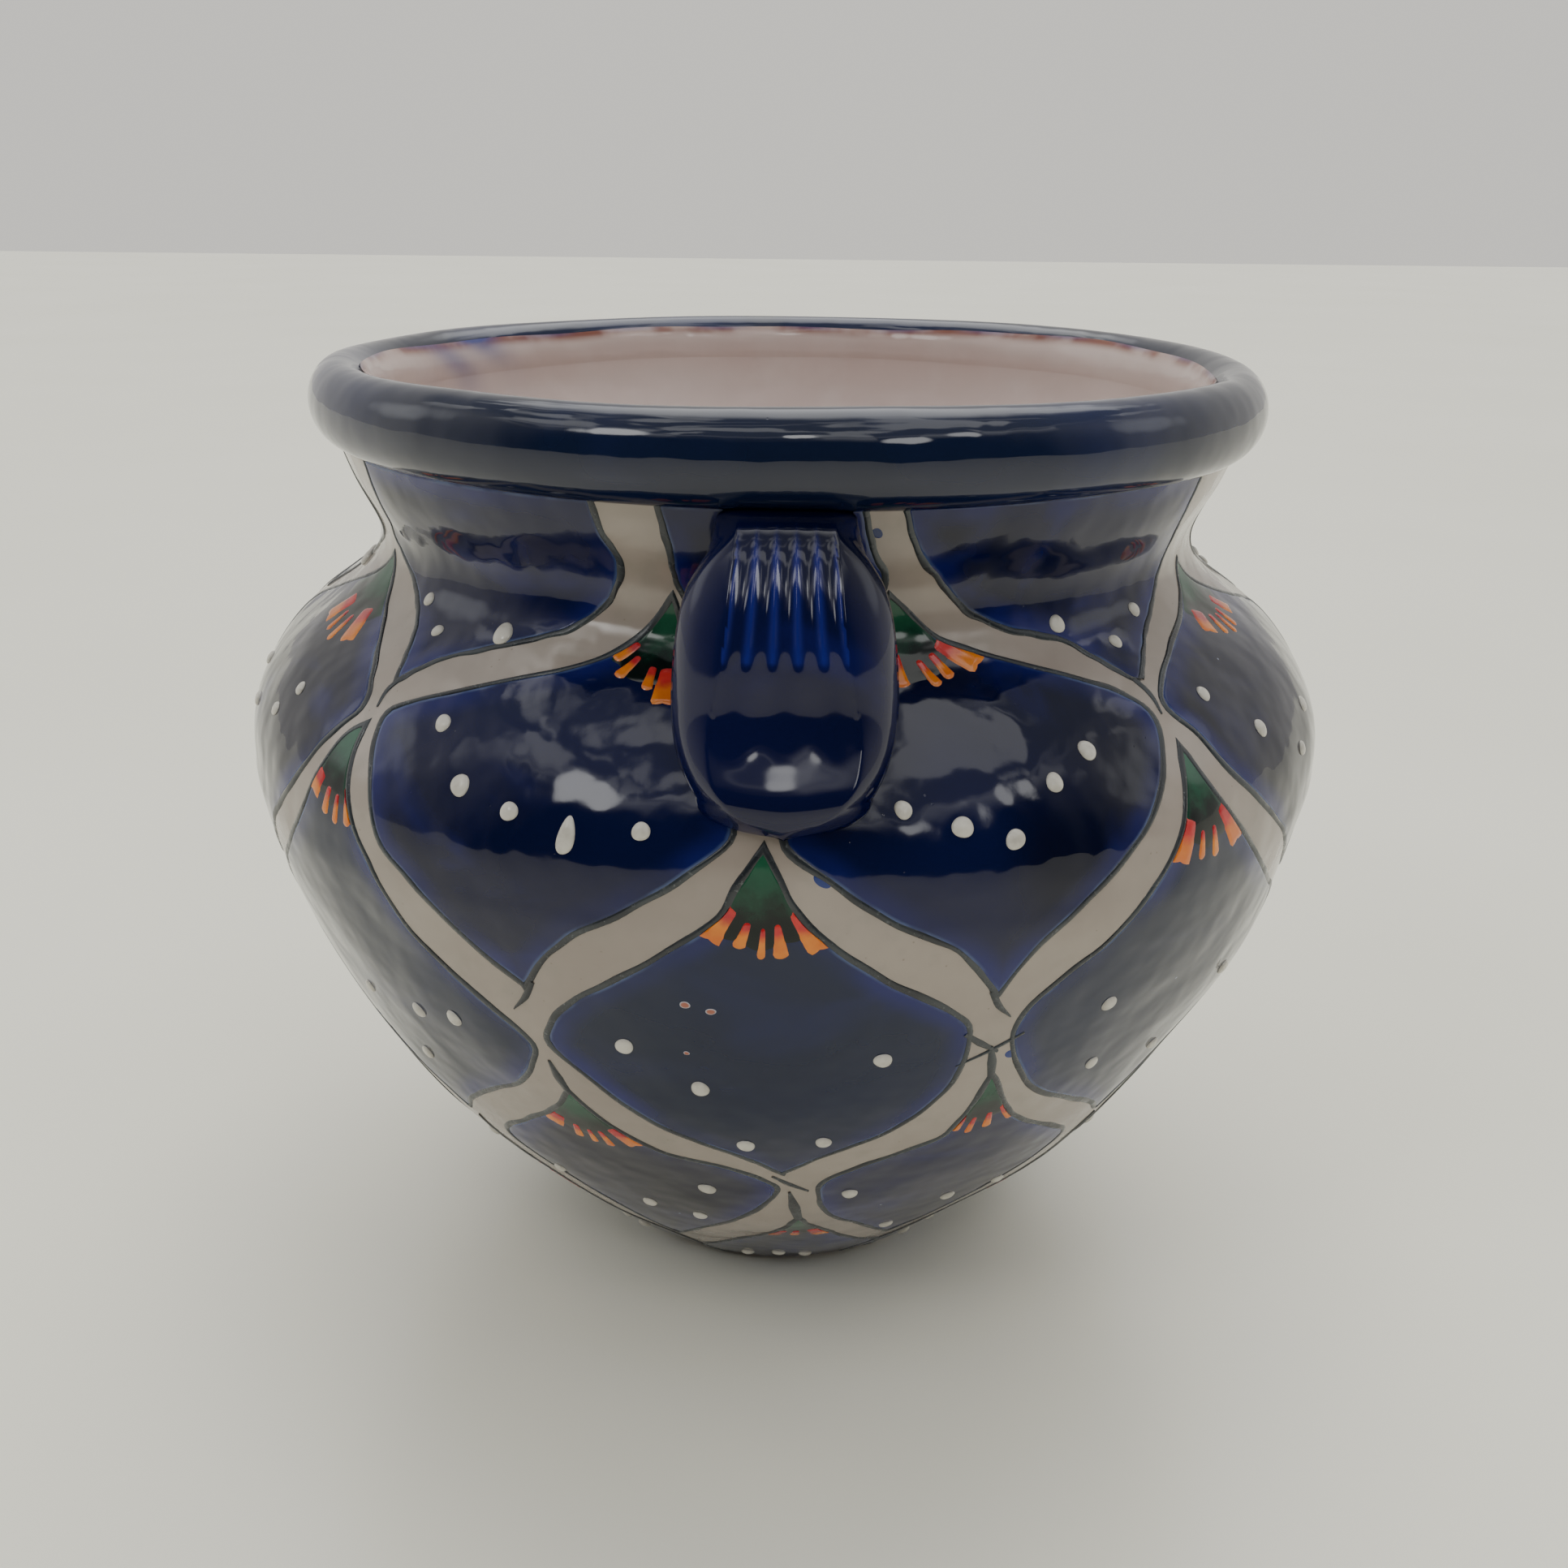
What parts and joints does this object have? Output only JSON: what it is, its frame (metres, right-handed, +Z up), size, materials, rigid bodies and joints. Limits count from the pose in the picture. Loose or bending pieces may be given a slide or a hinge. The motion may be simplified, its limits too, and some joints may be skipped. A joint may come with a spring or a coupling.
{
  "type": "two-handled vase",
  "caption": "Wide-mouthed round-bellied glazed pottery vase with a rolled lip, a flared neck and strap handles.",
  "frame": {"origin": "middle of the flat underside of the foot", "axes": "+Z up the pot's axis out of its mouth, -Y towards the front handle, +X to the right of a viewer who faces that handle"},
  "size_m": [0.2702, 0.2734, 0.235],
  "materials": {
    "clay": "bare fired earthenware, matt",
    "cobalt_glaze": "glossy cobalt glaze, painted",
    "navy_glaze": "glossy near-black navy glaze",
    "lining_glaze": "glossy pale mauve tin glaze"
  },
  "bodies": {
    "root": {"foot_slab": "clay", "bowl_wall": "cobalt_glaze", "shoulder_wall": "cobalt_glaze", "lip_roll": "navy_glaze", "glaze_lining": "lining_glaze", "handle_front": "cobalt_glaze", "handle_back": "cobalt_glaze"}
  },
  "joints": []
}
